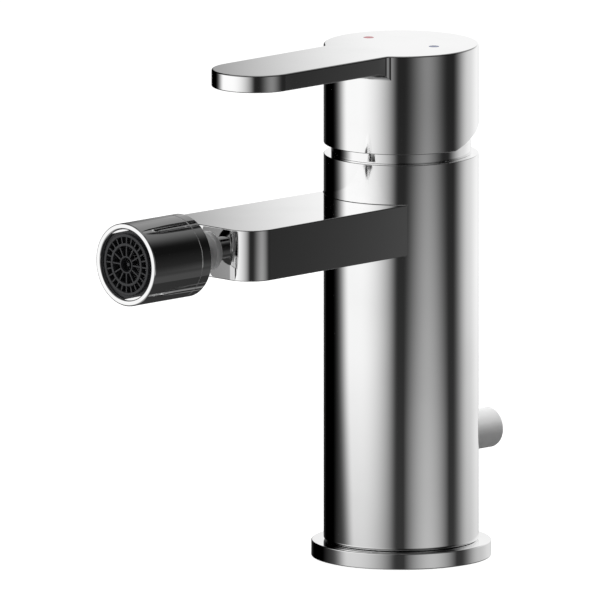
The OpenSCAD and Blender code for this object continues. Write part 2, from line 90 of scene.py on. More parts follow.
class Outline:
    """A line of points walked with its solid on the left hand, in millimetres."""

    def __init__(self) -> None:
        """Starts an empty line."""
        self.points: list[EdgePoint] = []

    def arc(self, centre: tuple[float, float], radius: float, start: float, end: float,
            hollow: bool = False, step: float = ARC_STEP) -> Outline:
        """Adds a round stretch.

        Args:
            centre: The arc's centre.
            radius: The arc's radius.
            start: The angle where the walk enters the arc, in degrees.
            end: The angle where it leaves.
            hollow: Whether the surface faces the arc's centre.
            step: The largest angle between two points.

        Returns:
            The line itself.
        """
        count = max(2, math.ceil(abs(end - start) / step))
        side = -1.0 if hollow else 1.0
        for i in range(count + 1):
            angle = math.radians(start + (end - start) * i / count)
            c, s = math.cos(angle), math.sin(angle)
            spot = centre[0] + radius * c, centre[1] + radius * s
            self.points.append(EdgePoint(*spot, side * c, side * s))
        return self

    def straight(self, start: tuple[float, float], end: tuple[float, float], count: int) -> Outline:
        """Adds a straight stretch of points from start to end, and returns the line itself."""
        way = (Vector(end) - Vector(start)).normalized()
        for i in range(count + 1):
            spot = Vector(start).lerp(Vector(end), i / count)
            self.points.append(EdgePoint(spot.x, spot.y, way.y, -way.x))
        return self

    def corners(self, corners: Sequence[Corner], closed: bool = True) -> Outline:
        """Adds straight stretches with rounded corners.

        Args:
            corners: Each corner's x, y and rounding; no rounding leaves it sharp.
            closed: Whether the last corner leads back to the first.

        Returns:
            The line itself.
        """
        count = len(corners)
        ways: list[Vector] = []
        for i in range(count):
            following = corners[(i + 1) % count]
            ways.append(Vector((following[0] - corners[i][0], following[1] - corners[i][1])).normalized())
        for i, (x, y, radius) in enumerate(corners):
            into, out = ways[i - 1], ways[i]
            if not closed and i in (0, count - 1):
                way = out if i == 0 else into
                self.points.append(EdgePoint(x, y, way.y, -way.x))
            elif radius == 0:
                self.points += [EdgePoint(x, y, way.y, -way.x) for way in (into, out)]
            else:
                self._round(Vector((x, y)), radius, into, out)
        return self

    def _round(self, corner: Vector, radius: float, into: Vector, out: Vector) -> None:
        """Adds the arc that rounds one corner between its two directions."""
        turn = math.atan2(into.x * out.y - into.y * out.x, into.dot(out))
        side = 1.0 if turn > 0 else -1.0
        normal = Vector((into.y, -into.x))
        centre = corner - into * radius * math.tan(abs(turn) / 2) - normal * radius * side
        start = math.degrees(math.atan2(normal.y * side, normal.x * side))
        self.arc((centre.x, centre.y), radius, start, start + math.degrees(turn), side < 0, step=15)


def edge_rows(edge: float) -> list[tuple[float, float, float, float]]:
    """Lists a rounded edge from its flat face to its upright side.

    Args:
        edge: The rounding's radius.

    Returns:
        For each row its inset, its depth under the face, and the normal's flat and upright parts.
    """
    rows = []
    for i in range(EDGE_STEPS + 1):
        angle = math.pi / 2 * (1 - i / EDGE_STEPS)
        c, s = math.cos(angle), math.sin(angle)
        rows.append((edge * (1 - c), edge * (1 - s), c, s))
    return rows


class Skin:
    """Faces whose corners carry their own normals, welded into one mesh, in millimetres."""

    WELD = 1e4

    def __init__(self) -> None:
        """Starts with no faces."""
        self._known: dict[tuple[int, int, int], int] = {}
        self._places: list[Vector] = []
        self._faces: list[list[int]] = []
        self._normals: list[Vector] = []

    def _vertex(self, place: Vector) -> int:
        """Returns the number of the vertex at a place, and makes it if it is new."""
        key = (round(place.x * self.WELD), round(place.y * self.WELD), round(place.z * self.WELD))
        if key not in self._known:
            self._known[key] = len(self._places)
            self._places.append(place)
        return self._known[key]

    def face(self, corners: Sequence[Knot]) -> None:
        """Adds a face, turned to the side that its normals point to.

        Args:
            corners: Place and normal of each corner; corners that fall together count once.
        """
        kept: dict[int, Vector] = {}
        for place, normal in corners:
            kept.setdefault(self._vertex(place), normal)
        if len(kept) < 3:
            return
        numbers = list(kept)
        spots = [self._places[n] for n in numbers]
        facing = Vector((0.0, 0.0, 0.0))
        for a, b in zip(spots, spots[1:] + spots[:1]):
            facing += (a - spots[0]).cross(b - spots[0])
        if facing.dot(sum(kept.values(), Vector((0.0, 0.0, 0.0)))) < 0:
            numbers.reverse()
        self._faces.append(numbers)
        self._normals += [kept[n] for n in numbers]

    def sheet(self, rows: Sequence[Sequence[Knot]], closed: bool = True) -> None:
        """Adds the faces between rows of corners; closed rows run round."""
        for upper, lower in zip(rows, rows[1:]):
            for i in range(len(upper) if closed else len(upper) - 1):
                j = (i + 1) % len(upper)
                self.face((upper[i], upper[j], lower[j], lower[i]))

    def flat(self, rings: Sequence[Sequence[Vector]], normal: Vector) -> None:
        """Fills a flat face inside its first ring, with a hole at each further ring."""
        places = [place for ring in rings for place in ring]
        for triangle in tessellate_polygon([list(ring) for ring in rings]):
            self.face([(places[i], normal) for i in triangle])

    def lathe(self, line: Outline, steps: int, closed: bool = True) -> None:
        """Turns a half section about the upright axis.

        Args:
            line: The section, with its radius as x and its height as y.
            steps: The faces in one turn.
            closed: Whether the section leads back to its start.
        """
        angles = [math.tau * i / steps for i in range(steps)]
        ring = [(math.cos(a), math.sin(a)) for a in angles]
        points = line.points + line.points[:1] if closed else line.points
        self.sheet([[(Vector((p.x * c, p.x * s, p.y)), Vector((p.nx * c, p.nx * s, p.ny)))
                     for c, s in ring] for p in points])

    def prism(self, line: Outline, bottom: float, top: float, edges: Sequence[float],
              holes: Sequence[Sequence[tuple[float, float]]] = ()) -> None:
        """Adds an upright prism with rounded edges.

        Args:
            line: The prism's plan.
            bottom: The height of its lower face.
            top: The height of its upper face.
            edges: The rounding at each point of the plan.
            holes: The plans of holes that pass through it, as rings about their centres.
        """
        rows: list[list[Knot]] = []
        profiles = [edge_rows(edge) for edge in edges]
        for i in range(EDGE_STEPS + 1):
            rows.append([self.edge_knot(p, top, -1, e[i]) for p, e in zip(line.points, profiles)])
        for i in range(EDGE_STEPS, -1, -1):
            rows.append([self.edge_knot(p, bottom, 1, e[i]) for p, e in zip(line.points, profiles)])
        self.sheet(rows)
        for row, height, normal in ((rows[0], top, UP), (rows[-1], bottom, -UP)):
            self.flat([[place for place, _ in row], *(self.level(ring, height) for ring in holes)], normal)
        for ring in holes:
            self.bore(ring, bottom, top)

    def bore(self, ring: Sequence[tuple[float, float]], bottom: float, top: float) -> None:
        """Adds the wall of an upright hole between two heights."""
        middle = sum((Vector(spot) for spot in ring), Vector((0.0, 0.0))) / len(ring)
        ways = [(middle - Vector(spot)).normalized().to_3d() for spot in ring]
        self.sheet([list(zip(self.level(ring, z), ways)) for z in (bottom, top)])

    @staticmethod
    def level(ring: Sequence[tuple[float, float]], height: float) -> list[Vector]:
        """Lifts a ring of plan points to a height."""
        return [Vector((x, y, height)) for x, y in ring]

    @staticmethod
    def edge_knot(point: EdgePoint, face: float, side: int,
                  row: tuple[float, float, float, float]) -> Knot:
        """Returns a corner on a rounded edge under (-1) or over (+1) a flat face."""
        inset, depth, out, upright = row
        return (Vector((*point.inset(inset), face + side * depth)),
                Vector((point.nx * out, point.ny * out, -side * upright)))

    def build(self, name: str, facing: Facing = Facing.UP,
              origin: Sequence[float] = (0.0, 0.0, 0.0)) -> bpy.types.Object:
        """Makes the mesh and its object.

        Args:
            name: The piece's name.
            facing: The way that the piece's own axis points.
            origin: Where its own origin lies, in millimetres.

        Returns:
            The new object, at the origin, with its place in its mesh.
        """
        place = facing.place(Vector(origin) * MM)
        turn = place.to_3x3()
        mesh = bpy.data.meshes.new(name)
        mesh.from_pydata([place @ (spot * MM) for spot in self._places], [], self._faces)
        mesh.polygons.foreach_set("use_smooth", [True] * len(mesh.polygons))
        mesh.normals_split_custom_set([turn @ normal for normal in self._normals])
        made = bpy.data.objects.new(name, mesh)
        bpy.context.scene.collection.objects.link(made)
        return made


def circle(x: float, y: float, radius: float, steps: int = 48) -> list[tuple[float, float]]:
    """Returns the points of a circle in plan."""
    return [(x + radius * math.cos(math.tau * i / steps), y + radius * math.sin(math.tau * i / steps))
            for i in range(steps)]


class Value:
    """A socket of a node tree that takes part in sums, with each operator adding a Math node."""

    def __init__(self, graph: Graph, socket: bpy.types.NodeSocket) -> None:
        """Wraps an output socket of a graph."""
        self.graph = graph
        self.socket = socket

    def __add__(self, other: Value | float) -> Value:
        """Adds."""
        return self.graph.math("ADD", self, other)

    __radd__ = __add__

    def __sub__(self, other: Value | float) -> Value:
        """Takes away."""
        return self.graph.math("SUBTRACT", self, other)

    def __rsub__(self, other: float) -> Value:
        """Takes this from a number."""
        return self.graph.math("SUBTRACT", other, self)

    def __mul__(self, other: Value | float) -> Value:
        """Multiplies."""
        return self.graph.math("MULTIPLY", self, other)

    __rmul__ = __mul__

    def smooth(self, start: float, end: float, low: Any = 0.0, high: Any = 1.0) -> Value:
        """Returns a soft step from low at start to high at end."""
        return self._range("SMOOTHSTEP", start, end, low, high)

    def linear(self, start: float, end: float, low: float, high: float) -> Value:
        """Returns a straight ramp from low at start to high at end, held outside."""
        return self._range("LINEAR", start, end, low, high)

    def _range(self, kind: str, start: float, end: float, low: Any, high: Any) -> Value:
        """Maps a range of this value onto another one."""
        return self.graph.node("ShaderNodeMapRange", {"interpolation_type": kind, "clamp": True},
                               {"Value": self, "From Min": start, "From Max": end,
                                "To Min": low, "To Max": high}, "Result")


class Graph:
    """A node tree under construction."""

    def __init__(self, tree: bpy.types.NodeTree) -> None:
        """Takes a tree and clears it."""
        self.tree = tree
        tree.nodes.clear()

    def node(self, kind: str, settings: dict[str, Any] | None = None,
             inputs: dict[str, Any] | None = None, output: str | None = None) -> Value:
        """Adds a node.

        Args:
            kind: The node's type.
            settings: Its properties, which are set first.
            inputs: Values or links by the socket's identifier or name.
            output: The output's identifier or name, or the first one.

        Returns:
            The chosen output, or the first one there is.
        """
        made = self.tree.nodes.new(kind)
        for name, value in (settings or {}).items():
            setattr(made, name, value)
        for name, value in (inputs or {}).items():
            socket = self._socket(made.inputs, name)
            if isinstance(value, Value):
                self.tree.links.new(value.socket, socket)
            else:
                socket.default_value = value
        chosen = self._socket(made.outputs, output) if output else next(iter(made.outputs), None)
        return Value(self, chosen)

    @staticmethod
    def _socket(sockets: Any, name: str) -> bpy.types.NodeSocket:
        """Finds a socket by its identifier, or else by its name."""
        for socket in sockets:
            if socket.identifier == name:
                return socket
        return sockets[name]

    def math(self, operation: str, a: Value | float, b: Value | float) -> Value:
        """Adds a Math node with two operands."""
        return self.node("ShaderNodeMath", {"operation": operation}, {"Value": a, "Value_001": b})

    def blend(self, share: Value | float, a: Any, b: Any) -> Value:
        """Returns a colour between a and b."""
        return self.node("ShaderNodeMix", {"data_type": "RGBA"},
                         {"Factor_Float": share, "A_Color": self._rgba(a), "B_Color": self._rgba(b)},
                         "Result_Color")

    @staticmethod
    def _rgba(colour: Any) -> Any:
        """Gives a plain colour its alpha."""
        return (*colour, 1.0) if isinstance(colour, tuple) and len(colour) == 3 else colour

    def place(self) -> Value:
        """Returns the point on the surface, in metres, in the object's own frame."""
        return self.node("ShaderNodeTexCoord", output="Object")

    def noise(self, place: Value, scale: float, detail: float = 3.0,
              stretch: Sequence[float] = (1, 1, 1)) -> Value:
        """Returns a cloudy pattern with a number of features to the metre."""
        spread = self.node("ShaderNodeMapping", inputs={"Vector": place, "Scale": tuple(stretch)})
        return self.node("ShaderNodeTexNoise", inputs={"Vector": spread, "Scale": scale, "Detail": detail},
                         output="Fac")

    def bump(self, height: Value, strength: float, distance: float) -> Value:
        """Returns a normal that is raised by a height."""
        return self.node("ShaderNodeBump", inputs={"Height": height, "Strength": strength,
                                                   "Distance": distance})

    def surface(self, inputs: dict[str, Any], **fixed: Any) -> None:
        """Ends the tree in a Principled shader.

        Args:
            inputs: Values that change over the surface, by socket name.
            fixed: Values that are the same all over, with spaces written as underscores.
        """
        plain = {name.replace("_", " "): value for name, value in fixed.items()}
        shader = self.node("ShaderNodeBsdfPrincipled", inputs={**plain, **inputs})
        self.node("ShaderNodeOutputMaterial", inputs={"Surface": shader})


@dataclass(frozen=True)
class Finish:
    """What every finish has: a name and a colour."""

    name: str
    colour: Colour

    def material(self) -> bpy.types.Material:
        """Returns the finish's material, made once."""
        known = bpy.data.materials.get(self.name)
        if known:
            return known
        made = bpy.data.materials.new(self.name)
        made.use_nodes = True
        self.dress(Graph(made.node_tree))
        return made

    def dress(self, graph: Graph) -> None:
        """Builds the finish's nodes."""
        raise NotImplementedError

    def shade(self, amount: float) -> tuple[float, float, float, float]:
        """Returns the colour made lighter or darker by a factor."""
        return (*(min(1.0, part * amount) for part in self.colour), 1.0)


@dataclass(frozen=True)
class ChromePlate(Finish):
    """Polished plating: almost a mirror, with faint wiping marks and a trace of buffing."""

    polish: float = 0.035
    haze: float = 0.035
    metal: float = 1.0
    marks_per_m: float = 42.0
    buffing_per_m: float = 2600.0

    def dress(self, graph: Graph) -> None:
        """Builds the plating's nodes."""
        place = graph.place()
        marks = graph.noise(place, self.marks_per_m, 4.0)
        buffing = graph.noise(place, self.buffing_per_m, 2.0)
        wiped = marks.smooth(0.42, 0.72)
        graph.surface({
            "Base Color": graph.blend(wiped, self.shade(1.0), self.shade(0.97)),
            "Roughness": self.polish + wiped * self.haze + (buffing - 0.5) * 0.01,
            "Normal": graph.bump(buffing, 0.012, 0.00002),
        }, Metallic=self.metal)


@dataclass(frozen=True)
class TurnedMetal(Finish):
    """Bare metal from the lathe, with fine tool rings and a dull film."""

    rings_per_m: float = 3800.0
    film_per_m: float = 160.0
    roughness: float = 0.3

    def dress(self, graph: Graph) -> None:
        """Builds the bare metal's nodes."""
        place = graph.place()
        rings = graph.noise(place, self.rings_per_m, 2.0, (0.04, 0.04, 1.0))
        film = graph.noise(place, self.film_per_m).smooth(0.35, 0.75)
        graph.surface({
            "Base Color": graph.blend(film, self.shade(1.0), self.shade(0.82)),
            "Roughness": self.roughness + film * 0.14 + (rings - 0.5) * 0.1,
            "Normal": graph.bump(rings, 0.25, 0.00004),
        }, Metallic=1.0)


@dataclass(frozen=True)
class Moulded(Finish):
    """Moulded plastic or rubber, with a fine spark-eroded grain and a slightly uneven tone."""

    roughness: float = 0.45
    grain_per_m: float = 5200.0
    tone_per_m: float = 130.0
    grain: float = 0.2
    coat: float = 0.0

    def dress(self, graph: Graph) -> None:
        """Builds the moulding's nodes."""
        place = graph.place()
        grain = graph.noise(place, self.grain_per_m, 2.0)
        tone = graph.noise(place, self.tone_per_m)
        graph.surface({
            "Base Color": graph.blend(tone.smooth(0.3, 0.7), self.shade(0.93), self.shade(1.05)),
            "Roughness": self.roughness + (grain - 0.5) * 0.18,
            "Normal": graph.bump(grain, self.grain, 0.00005),
        }, Coat_Weight=self.coat, Coat_Roughness=0.08)


@dataclass(frozen=True)
class LappedCeramic(Finish):
    """Dense ceramic, lapped flat, with a sparse speckle."""

    speckle_per_m: float = 1800.0

    def dress(self, graph: Graph) -> None:
        """Builds the ceramic's nodes."""
        place = graph.place()
        speckle = graph.noise(place, self.speckle_per_m, 2.0).smooth(0.66, 0.74)
        graph.surface({
            "Base Color": graph.blend(speckle, self.shade(1.0), self.shade(0.8)),
            "Roughness": 0.16 + speckle * 0.15,
        })


CHROME = ChromePlate("chrome_plate", (0.866, 0.866, 0.866))
SATIN = ChromePlate("satin_chrome_plate", (0.87, 0.87, 0.87), polish=0.36, haze=0.06, metal=0.3)
FINISHES: dict[str, Finish] = {
    "chrome": CHROME,
    "brass": TurnedMetal("turned_brass", (0.80, 0.62, 0.32)),
    "steel": TurnedMetal("turned_steel", (0.58, 0.58, 0.59), roughness=0.26),
    "ceramic": LappedCeramic("lapped_ceramic", (0.88, 0.86, 0.80)),
    "white_plastic": Moulded("white_moulding", (0.80, 0.80, 0.78)),
    "blue_plastic": Moulded("blue_moulding", (0.16, 0.30, 0.48)),
    "grey_plastic": Moulded("grey_moulding", (0.42, 0.43, 0.45), roughness=0.28, grain=0.06, coat=0.5),
    "dark_plastic": Moulded("dark_moulding", (0.038, 0.039, 0.043), roughness=0.36, grain=0.12),
    "rubber": Moulded("black_rubber", (0.03, 0.03, 0.032), roughness=0.7, grain=0.3),
    "red_enamel": Moulded("hot_enamel", (0.25, 0.012, 0.03), roughness=0.26, grain=0.03, coat=0.1),
    "blue_enamel": Moulded("cold_enamel", (0.02, 0.034, 0.11), roughness=0.26, grain=0.03, coat=0.1),
}


def fit(piece: bpy.types.Object, body: str, slot: str, *nodes: str) -> None:
    """Gives a new piece its finish, and puts it in the place of construction nodes.

    Args:
        piece: The new object.
        body: The body that it moves with.
        slot: The record's material slot.
        nodes: The nodes that it stands for.
    """
    if not piece.data.materials:
        piece.data.materials.append(FINISHES[slot].material())
    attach(piece, body)
    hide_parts(*nodes)
    LOG.info("%s stands for %s on %s", piece.name, ", ".join(nodes), body)


@dataclass
class Foot:
    """The ring that the body stands on, with its register and the lift rod's lug."""

    radius: float = 26.65
    height: float = 4.75
    bore: float = 17.3
    register: float = 18.9
    register_top: float = 7.95
    groove: tuple[float, float] = (21.45, 24.45)
    groove_depth: float = 2.0
    edge: float = 0.3
    rod_y: float = 13.0
    lug: float = 6.55
    lug_bottom: float = 1.0
    lug_hole: float = 4.1
    lug_edge: float = 0.2
    lug_overlap: float = 0.5
    steps: int = 256

    def build(self) -> None:
        """Builds the ring."""
        skin = Skin()
        inner, outer = self.groove
        skin.lathe(Outline().corners([
            (self.bore, 0, 0), (inner, 0, 0), (inner, self.groove_depth, 0), (outer, self.groove_depth, 0),
            (outer, 0, 0), (self.radius, 0, self.edge), (self.radius, self.height, self.edge),
            (self.register, self.height, 0), (self.register, self.register_top, 0),
            (self.bore, self.register_top, 0)]), self.steps)
        clip = self.bore + self.lug_overlap
        meet_y = (clip ** 2 - self.lug ** 2 + self.rod_y ** 2) / (2 * self.rod_y)
        meet_x = math.sqrt(clip ** 2 - meet_y ** 2)
        out = math.degrees(math.atan2(meet_y - self.rod_y, meet_x))
        round_ring = math.degrees(math.atan2(meet_y, meet_x))
        plan = Outline().arc((0, 0), clip, round_ring, 180 - round_ring)
        plan.arc((0, self.rod_y), self.lug, 180 - out, 360 + out)
        skin.prism(plan, self.lug_bottom, self.register_top, [self.lug_edge] * len(plan.points),
                   [circle(0, self.rod_y, self.lug_hole)])
        fit(skin.build("base_ring_chrome"), "mixer", "chrome", "base_ring")


@dataclass
class Column:
    """The body: a hollow cylinder with a partition, hose ports and the lift knob's slot."""

    radius: float = 23.0
    cavity: float = 19.0
    bottom: float = 4.75
    top: float = 120.85
    foot_round: float = 1.0
    edge: float = 0.22
    inner_edge: float = 0.1
    foot_inner_edge: float = 0.3
    foot_band: float = 1.5
    rim_band: float = 1.0
    partition: tuple[float, float] = (74.0, 90.0)
    cartridge_bore: float = 17.5
    nut_bore: float = 19.05
    nut_seat: float = 111.7
    skirt_bore: float = 20.1
    skirt_seat: float = 118.0
    port_x: float = 7.0
    port_y: float = 2.0
    hose_bore: float = 4.5
    hose_depth: float = 10.0
    inlet: float = 3.0
    stud_y: float = -11.0
    stud_bore: float = 3.4
    stud_depth: float = 12.0
    slot_radius: float = 3.3
    slot_z: tuple[float, float] = (33.9, 48.9)
    slot_edge: float = 0.35
    steps: int = 288
    window_columns: int = 11
    window_rows: int = 22
    window_margin: float = 7.0

    def build(self) -> None:
        """Builds the body."""
        skin = Skin()
        low, seat = self.partition
        skin.lathe(Outline().corners([
            (self.radius, self.top - self.rim_band, 0), (self.radius, self.top, self.edge),
            (self.skirt_bore, self.top, self.inner_edge), (self.skirt_bore, self.skirt_seat, 0),
            (self.nut_bore, self.skirt_seat, 0), (self.nut_bore, self.nut_seat, 0),
            (self.cartridge_bore, self.nut_seat, 0), (self.cartridge_bore, seat, 0)], closed=False),
            self.steps, closed=False)
        foot = self.bottom + self.foot_band
        skin.lathe(Outline().corners([
            (self.cavity, foot, 0), (self.cavity, self.bottom, self.foot_inner_edge),
            (self.radius, self.bottom, self.foot_round), (self.radius, foot, 0)],
            closed=False), self.steps, closed=False)
        outer = self._wall(skin, self.radius, foot, self.top - self.rim_band, 1)
        inner = self._wall(skin, self.cavity, foot, low, -1)
        skin.sheet([outer, inner])
        self._ports(skin)
        fit(skin.build("body_chrome"), "mixer", "chrome", "body")

    def _ring(self, radius: float, z: float) -> list[Vector]:
        """Returns the points of a level ring on a wall."""
        angles = [math.tau * i / self.steps for i in range(self.steps)]
        return [Vector((radius * math.cos(a), radius * math.sin(a), z)) for a in angles]

    def _wall(self, skin: Skin, radius: float, bottom: float, top: float, side: int) -> list[Knot]:
        """Adds an upright wall with the slot in its rear.

        Args:
            skin: The skin that the wall is added to.
            radius: The wall's radius.
            bottom: Its lower end.
            top: Its upper end.
            side: 1 for a wall that faces outwards, -1 for one that faces the axis.

        Returns:
            The corners round the slot, facing into it.
        """
        low, high = self.slot_z[0] - self.window_margin, self.slot_z[1] + self.window_margin
        levels = [low + (high - low) * i / self.window_rows for i in range(self.window_rows + 1)]
        rear = self.steps // 4
        first, last = rear - self.window_columns, rear + self.window_columns

        def knot(place: Vector) -> Knot:
            """Returns a corner on the wall."""
            return place, Vector((place.x, place.y, 0.0)).normalized() * side

        rows = [[knot(p) for p in self._ring(radius, z)] for z in (bottom, *levels, top)]
        skin.sheet([rows[0], rows[1]])
        skin.sheet([rows[-2], rows[-1]])
        skin.sheet([row[last:] + row[:first + 1] for row in rows[1:-1]], closed=False)
        border = [rows[1][i] for i in range(first, last)] + [row[last] for row in rows[1:-2]]
        border += [rows[-2][i] for i in range(last, first, -1)] + [row[first] for row in rows[-2:1:-1]]
        return self._slot_rim(skin, radius, [place for place, _ in border], side)

    def _slot_rim(self, skin: Skin, radius: float, border: list[Vector], side: int) -> list[Knot]:
        """Fills between a window's border and the slot, and rounds the slot's edge."""
        starts, ways = [], []
        for place in border:
            core = Vector((0.0, min(max(place.z, self.slot_z[0]), self.slot_z[1])))
            way = (Vector((place.x, place.z)) - core).normalized()
            starts.append(core + way * self.slot_radius)
            ways.append(way)

        def on_wall(spot: Vector, sunk: float, normal_in: float, way: Vector) -> Knot:
            """Returns a corner at a place on the wall, sunk below it and turned into the slot."""
            at = radius - side * sunk
            place = Vector((spot.x, math.sqrt(at * at - spot.x * spot.x), spot.y))
            out = Vector((place.x, place.y, 0.0)).normalized() * side * math.sqrt(1 - normal_in ** 2)
            return place, out - Vector((way.x, 0.0, way.y)) * normal_in

        rows = [[on_wall(Vector((p.x, p.z)), 0.0, 0.0, w) for p, w in zip(border, ways)]]
        for share in (0.5, 1.0):
            rim = [s + w * self.slot_edge for s, w in zip(starts, ways)]
            rows.append([on_wall(Vector((p.x, p.z)).lerp(r, share), 0.0, 0.0, w)
                         for p, r, w in zip(border, rim, ways)])
        for inset, depth, into, _ in edge_rows(self.slot_edge)[1:]:
            rows.append([on_wall(s + w * inset, depth, into, w) for s, w in zip(starts, ways)])
        skin.sheet(rows)
        return [(place, Vector((-w.x, 0.0, -w.y))) for (place, _), w in zip(rows[-1], ways)]

    def _ports(self, skin: Skin) -> None:
        """Adds the partition with its two hose ports and the fixing stud's hole."""
        low, seat = self.partition
        hoses = [circle(s * self.port_x, self.port_y, self.hose_bore) for s in (-1, 1)]
        inlets = [circle(s * self.port_x, self.port_y, self.inlet) for s in (-1, 1)]
        stud = circle(0, self.stud_y, self.stud_bore)

        skin.flat([self._ring(self.cavity, low), *(Skin.level(r, low) for r in (*hoses, stud))], -UP)
        skin.flat([self._ring(self.cartridge_bore, seat), *(Skin.level(r, seat) for r in inlets)], UP)
        for hose, inlet in zip(hoses, inlets):
            step = low + self.hose_depth
            skin.bore(hose, low, step)
            skin.flat([Skin.level(hose, step), Skin.level(inlet, step)], -UP)
            skin.bore(inlet, step, seat)
        skin.bore(stud, low, low + self.stud_depth)
        skin.flat([Skin.level(stud, low + self.stud_depth)], -UP)


@dataclass
class Bar:
    """The spout: a flat bar with rounded front corners, brazed to the body."""

    half_width: float = 18.3
    flare: float = 0.8
    bottom: float = 93.7
    top: float = 109.0
    front: float = -81.6
    corner: float = 8.5
    body_radius: float = 23.0
    sunk: float = 0.05
    edge: float = 0.3
    bead: float = 0.2
    bead_steps: int = 60
    polished_off: float = 0.7

    def build(self) -> None:
        """Builds the bar and the thin bead of its joint."""
        end = self._side(self.body_radius - self.sunk)
        near = self._side(self.body_radius + 2 * self.edge)
        tip_x = self.half_width + self.corner * math.tan(math.radians(self.flare))
        sides = [(*end, 0.0), (*near, 0.0), (tip_x, self.front, self.corner)]
        plan = Outline().corners([(-x, y, r) for x, y, r in sides] + sides[::-1], closed=False)
        plan.points = [self._polished(point) for point in plan.points]
        touch = math.degrees(math.atan2(end[1], end[0]))
        plan.arc((0, 0), self.body_radius - self.sunk, touch, -180 - touch, hollow=True)
        skin = Skin()
        skin.prism(plan, self.bottom, self.top, [self._edge_at(p) for p in plan.points])
        for height, side in ((self.top, 1), (self.bottom, -1)):
            self._joint(skin, height, side, touch)
        fit(skin.build("spout_chrome"), "mixer", "chrome", "spout")

    def _side(self, away: float) -> tuple[float, float]:
        """Returns the point of the right side that lies at a distance from the body's axis."""
        lean = math.radians(self.flare)
        x, y = self.half_width, self.front + self.corner
        along = Vector((-math.sin(lean), math.cos(lean)))
        reach = -(Vector((x, y)).dot(along)) - math.sqrt(away ** 2 - (x * along.y - y * along.x) ** 2)
        spot = Vector((x, y)) + along * reach
        return spot.x, spot.y

    def _polished(self, point: EdgePoint) -> EdgePoint:
        """Turns the way that a side faces to the front by the angle that polishing took off it."""
        angle = math.degrees(math.atan2(point.ny, abs(point.nx)))
        share = (angle + 90) / (90 + self.flare)
        turned = math.radians(share * (90 - self.polished_off) - 90)
        return EdgePoint(point.x, point.y, math.copysign(math.cos(turned), point.nx), math.sin(turned))

    def _joint(self, skin: Skin, height: float, side: int, touch: float) -> None:
        """Adds the bead between a flat face and the body, above (1) or below (-1) the face."""
        sweep = -180 - 2 * touch
        angles = [math.radians(touch + sweep * k / self.bead_steps) for k in range(self.bead_steps + 1)]
        ways = [Vector((math.cos(a), math.sin(a), 0.0)) for a in angles]
        section: list[tuple[float, float, float, float]] = []
        for i in range(EDGE_STEPS + 1):
            turn = math.pi / 2 * i / EDGE_STEPS
            s, c = math.sin(turn), math.cos(turn)
            section.append((self.body_radius + self.bead * (1 - s), height + side * self.bead * (1 - c),
                            s, side * c))
        foot = (self.body_radius, height)
        section += [(*section[-1][:2], -1.0, 0.0), (*foot, -1.0, 0.0), (*foot, 0.0, -side),
                    (*section[0][:2], 0.0, -side)]
        skin.sheet([[(way * reach + UP * z, way * out + UP * up) for way in ways]
                    for reach, z, out, up in section], closed=False)
        for way, turned in ((ways[0], 1), (ways[-1], -1)):
            end = Vector((-way.y, way.x, 0.0)) * turned
            skin.face([(way * reach + UP * z, end) for reach, z, _, _ in section])

    def _edge_at(self, point: EdgePoint) -> float:
        """Returns the edge's rounding, which runs out where the bar meets the body."""
        away = (math.hypot(point.x, point.y) - self.body_radius) / self.edge
        return self.edge * min(1.0, max(0.0, away))


@dataclass
class Dome:
    """The neck between body and handle: a dome over the cartridge, with a skirt in the body."""

    neck: float = 20.75
    seat: float = 120.85
    sphere: float = 22.3
    centre: float = 116.0
    opening: float = 12.5
    wall: float = 1.2
    skirt: float = 20.0
    skirt_inner: float = 18.6
    skirt_bottom: float = 118.3
    skirt_depth: float = 3.0
    skirt_edge: float = 0.15
    seat_edge: float = 0.1
    steps: int = 256

    def build(self) -> None:
        """Builds the dome."""
        inner = self.sphere - self.wall

        def slope(radius: float, reach: float) -> float:
            """Returns the angle at which a sphere is as wide as a radius."""
            return math.degrees(math.acos(radius / reach))

        neck_top = self.centre + math.sqrt(self.sphere ** 2 - self.neck ** 2)
        line = Outline().corners([
            (self.skirt_inner, self.skirt_bottom + self.skirt_depth, 0),
            (self.skirt_inner, self.skirt_bottom, self.skirt_edge),
            (self.skirt, self.skirt_bottom, self.skirt_edge), (self.skirt, self.seat, 0),
            (self.neck, self.seat, self.seat_edge), (self.neck, neck_top, 0)], closed=False)
        line.arc((0, self.centre), self.sphere, slope(self.neck, self.sphere),
                 slope(self.opening, self.sphere), step=2)
        line.arc((0, self.centre), inner, slope(self.opening, inner), slope(self.skirt_inner, inner),
                 hollow=True)
        skin = Skin()
        skin.lathe(line, self.steps)
        fit(skin.build("dome_chrome"), "mixer", "chrome", "dome_cover")


